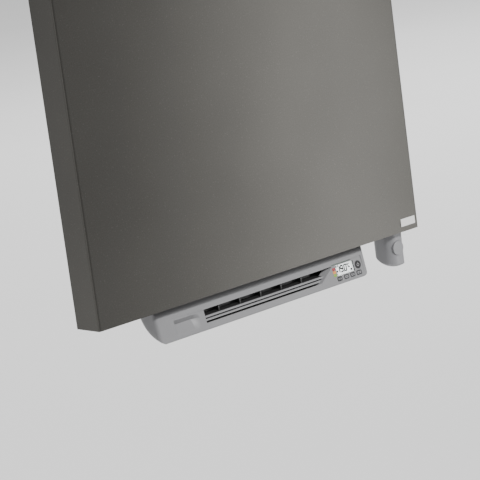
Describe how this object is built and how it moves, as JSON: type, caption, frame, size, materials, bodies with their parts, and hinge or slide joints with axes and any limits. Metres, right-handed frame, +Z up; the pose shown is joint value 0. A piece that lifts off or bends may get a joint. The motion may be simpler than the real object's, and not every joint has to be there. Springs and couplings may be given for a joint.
{
  "type": "electric radiator",
  "caption": "Wall-hung electric radiator with a flat metal front, a fan-heater module with display and keys under it, and a heating-element head.",
  "frame": {"origin": "on the wall, in the middle of the four wall screws", "axes": "+X to the right seen from the front, +Y towards the wall, +Z up"},
  "size_m": [0.6, 0.0858, 1.2515],
  "materials": {
    "panel_finish": "fine metallic structured paint",
    "badge": "plain light plate",
    "tube_paint": "satin",
    "zinc_steel": "zinc plated",
    "stainless": "drawn",
    "seal_rubber": "matte",
    "housing_plastic": "fine spark texture",
    "head_plastic": "satin",
    "black_plastic": "satin",
    "filter_net": "woven net",
    "bush_metal": "sintered",
    "motor_can": "drawn",
    "heater_fins": "bare",
    "board_green": "solder mask",
    "board_part": "moulded",
    "window_clear": "clear",
    "lcd_white": "backlit",
    "scale_red": "light pipe",
    "scale_amber": "light pipe",
    "scale_green": "light pipe",
    "key_grey": "satin",
    "key_dark": "satin"
  },
  "bodies": {
    "root": {"air_guide": "black_plastic", "badge_plate": "badge", "bearing_plate": "black_plastic", "board_parts": "board_part", "board_screws": "zinc_steel", "cable_gland": "black_plastic", "collector_plugs": "zinc_steel", "control_board": "board_green", "display_window": "window_clear", "element_gasket": "seal_rubber", "element_nut": "zinc_steel", "element_rod": "stainless", "fan_motor": "motor_can", "fascia_screws": "zinc_steel", "front_panel": "panel_finish", "gland_nut": "zinc_steel", "hanger_pins": "tube_paint", "head_board": "board_green", "head_body": "head_plastic", "head_lid": "head_plastic", "impeller_bush": "bush_metal", "intake_grille": "black_plastic", "lcd_panel": "lcd_white", "left_collector": "tube_paint", "link_cable": "black_plastic", "module_brackets": "zinc_steel", "module_fascia": "housing_plastic", "module_housing": "housing_plastic", "module_screws": "zinc_steel", "motor_plate": "black_plastic", "outlet_grille": "housing_plastic", "panel_clips": "zinc_steel", "power_board": "board_green", "ptc_frame": "black_plastic", "ptc_heater": "heater_fins", "right_collector": "tube_paint", "scale_amber": "scale_amber", "scale_green": "scale_green", "scale_red": "scale_red", "terminal_block": "black_plastic", "thermal_cutout": "motor_can", "tube_01": "tube_paint", "tube_02": "tube_paint", "tube_03": "tube_paint", "tube_04": "tube_paint", "tube_05": "tube_paint", "tube_06": "tube_paint", "tube_07": "tube_paint", "tube_08": "tube_paint", "wall_brackets": "zinc_steel"},
    "fan": {"impeller": "black_plastic", "fan_shaft": "zinc_steel"},
    "filter": {"filter_frame": "black_plastic", "filter_mesh": "filter_net"},
    "menu_key": {"button_menu": "key_grey"},
    "minus_key": {"button_minus": "key_grey"},
    "plus_key": {"button_plus": "key_grey"},
    "ok_key": {"button_ok": "key_grey"},
    "standby_key": {"standby_button": "key_dark"},
    "head_key": {"head_button": "head_plastic"}
  },
  "joints": [
    {"name": "fan_spin", "type": "hinge", "parent": "root", "child": "fan", "pos_m": [0, -0.0474, -0.574], "axis": [1, 0, 0], "continuous": true},
    {"name": "filter_slide", "type": "slide", "parent": "root", "child": "filter", "axis": [0, 0, -1], "range_m": [0, 0.042]},
    {"name": "menu_press", "type": "slide", "parent": "root", "child": "menu_key", "axis": [0, 0.9753, -0.2207], "range_m": [0, 0.0008], "stiffness_N_per_m": 1500},
    {"name": "minus_press", "type": "slide", "parent": "root", "child": "minus_key", "axis": [0, 0.9753, -0.2207], "range_m": [0, 0.0008], "stiffness_N_per_m": 1500},
    {"name": "plus_press", "type": "slide", "parent": "root", "child": "plus_key", "axis": [0, 0.9753, -0.2207], "range_m": [0, 0.0008], "stiffness_N_per_m": 1500},
    {"name": "ok_press", "type": "slide", "parent": "root", "child": "ok_key", "axis": [0, 0.9753, -0.2207], "range_m": [0, 0.0008], "stiffness_N_per_m": 1500},
    {"name": "standby_press", "type": "slide", "parent": "root", "child": "standby_key", "axis": [0, 0.9753, -0.2207], "range_m": [0, 0.0008], "stiffness_N_per_m": 1500},
    {"name": "head_press", "type": "slide", "parent": "root", "child": "head_key", "axis": [0, 1, 0], "range_m": [0, 0.0008], "stiffness_N_per_m": 2000}
  ]
}
